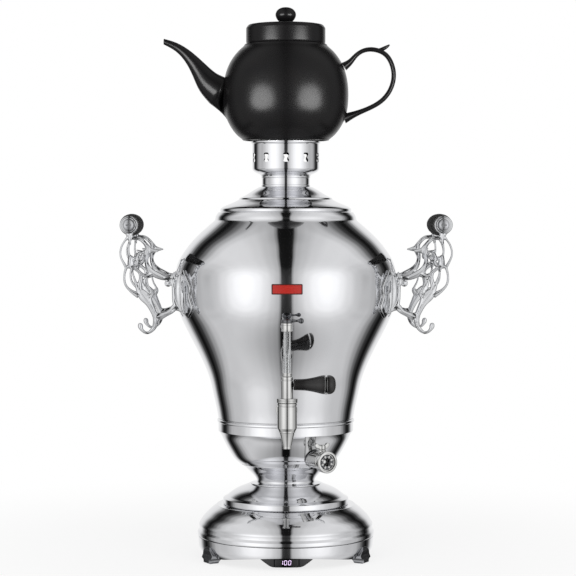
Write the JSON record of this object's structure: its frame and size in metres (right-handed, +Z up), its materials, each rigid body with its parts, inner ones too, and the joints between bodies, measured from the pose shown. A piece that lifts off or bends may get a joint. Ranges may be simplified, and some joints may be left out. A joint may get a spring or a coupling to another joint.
{
  "type": "electric samovar",
  "caption": "Pear-shaped steel tank on a domed base, with scroll handles, plug tap, level tube, drain valve, pierced crown and a teapot standing on top.",
  "frame": {"origin": "on the floor plane under the centre of the whole object's box; the column axis stands 10.1 mm behind it", "axes": "+Z up along the column, -Y to the front where the tap stands, +X to the right seen from the front"},
  "size_m": [0.4378, 0.3128, 0.7298],
  "materials": {
    "mirror_steel": "mirror-polished stainless steel",
    "foot_metal": "polished casting",
    "plain_steel": "plain fittings",
    "cast_chrome": "chromed casting",
    "nickel_brass": "nickel-plated brass",
    "black_glaze": "glossy black glaze on ceramic",
    "black_phenolic": "turned black phenolic",
    "black_plastic": "glossy black moulding",
    "display_window": "smoked window with lit plain digits",
    "clear_glass": "clear tube",
    "silicone": "grey silicone",
    "red_enamel": "bare red enamel in a dark frame",
    "green_board": "circuit board laminate"
  },
  "bodies": {
    "root": {"base_skirt": "mirror_steel", "base_dish": "mirror_steel", "pedestal_cap": "mirror_steel", "neck_cone": "mirror_steel", "vessel_bowl": "mirror_steel", "vessel_body": "mirror_steel", "foot_left": "foot_metal", "foot_right": "foot_metal", "foot_rear": "foot_metal", "bottom_cover": "plain_steel", "clamp_nut": "plain_steel", "heater_flange": "plain_steel", "heater_element": "plain_steel", "temperature_probe": "plain_steel", "heater_seal": "silicone", "drain_seal": "silicone", "tap_seal": "silicone", "gauge_seal": "silicone", "heater_leads": "silicone", "control_panel": "black_plastic", "display_window": "display_window", "cable_gland": "black_plastic", "control_board": "green_board", "badge_plate": "red_enamel", "handle_casting_front_left": "cast_chrome", "handle_casting_rear_left": "cast_chrome", "handle_casting_front_right": "cast_chrome", "handle_casting_rear_right": "cast_chrome", "grip_left": "black_phenolic", "grip_right": "black_phenolic", "grip_tie_left": "plain_steel", "grip_tie_right": "plain_steel", "tap_body": "nickel_brass", "tap_bonnet": "nickel_brass", "gauge_gland": "nickel_brass", "gauge_head": "nickel_brass", "gauge_glass": "clear_glass", "drain_body": "nickel_brass", "drain_retainer": "nickel_brass", "drain_nut": "nickel_brass", "tap_nut": "nickel_brass", "gauge_nut": "nickel_brass"},
    "lid": {"lid": "mirror_steel", "steam_neck": "mirror_steel"},
    "crown": {"crown": "mirror_steel"},
    "teapot": {"teapot_body": "black_glaze", "teapot_spout": "black_glaze"},
    "teapot_lid": {"teapot_lid": "black_glaze"},
    "tap_lever": {"tap_plug": "nickel_brass", "lever_rod": "nickel_brass", "lever_ring": "nickel_brass", "lever_grip": "black_phenolic", "lever_end": "black_phenolic"},
    "gauge_cock": {"gauge_cock": "nickel_brass"},
    "drain_valve": {"drain_ball": "nickel_brass", "drain_handle": "nickel_brass"}
  },
  "joints": [
    {"name": "lid_lift", "type": "slide", "parent": "root", "child": "lid", "axis": [0, 0, 1], "range_m": [0, 0.12]},
    {"name": "crown_lift", "type": "slide", "parent": "lid", "child": "crown", "axis": [0, 0, 1], "range_m": [0, 0.06]},
    {"name": "teapot_lift", "type": "slide", "parent": "crown", "child": "teapot", "axis": [0, 0, 1], "range_m": [0, 0.1]},
    {"name": "teapot_lid_lift", "type": "slide", "parent": "teapot", "child": "teapot_lid", "axis": [0, 0, 1], "range_m": [0, 0.06]},
    {"name": "tap_turn", "type": "hinge", "parent": "root", "child": "tap_lever", "pos_m": [0, -0.1429, 0.242], "axis": [0, 0, 1], "range_deg": [-90, 0]},
    {"name": "gauge_cock_turn", "type": "hinge", "parent": "root", "child": "gauge_cock", "pos_m": [0, -0.1429, 0.32], "axis": [0, 0, 1], "range_deg": [-90, 0]},
    {"name": "drain_turn", "type": "hinge", "parent": "root", "child": "drain_valve", "pos_m": [0.04577, -0.07599, 0.137], "axis": [0, 0, 1], "range_deg": [0, 90]}
  ]
}
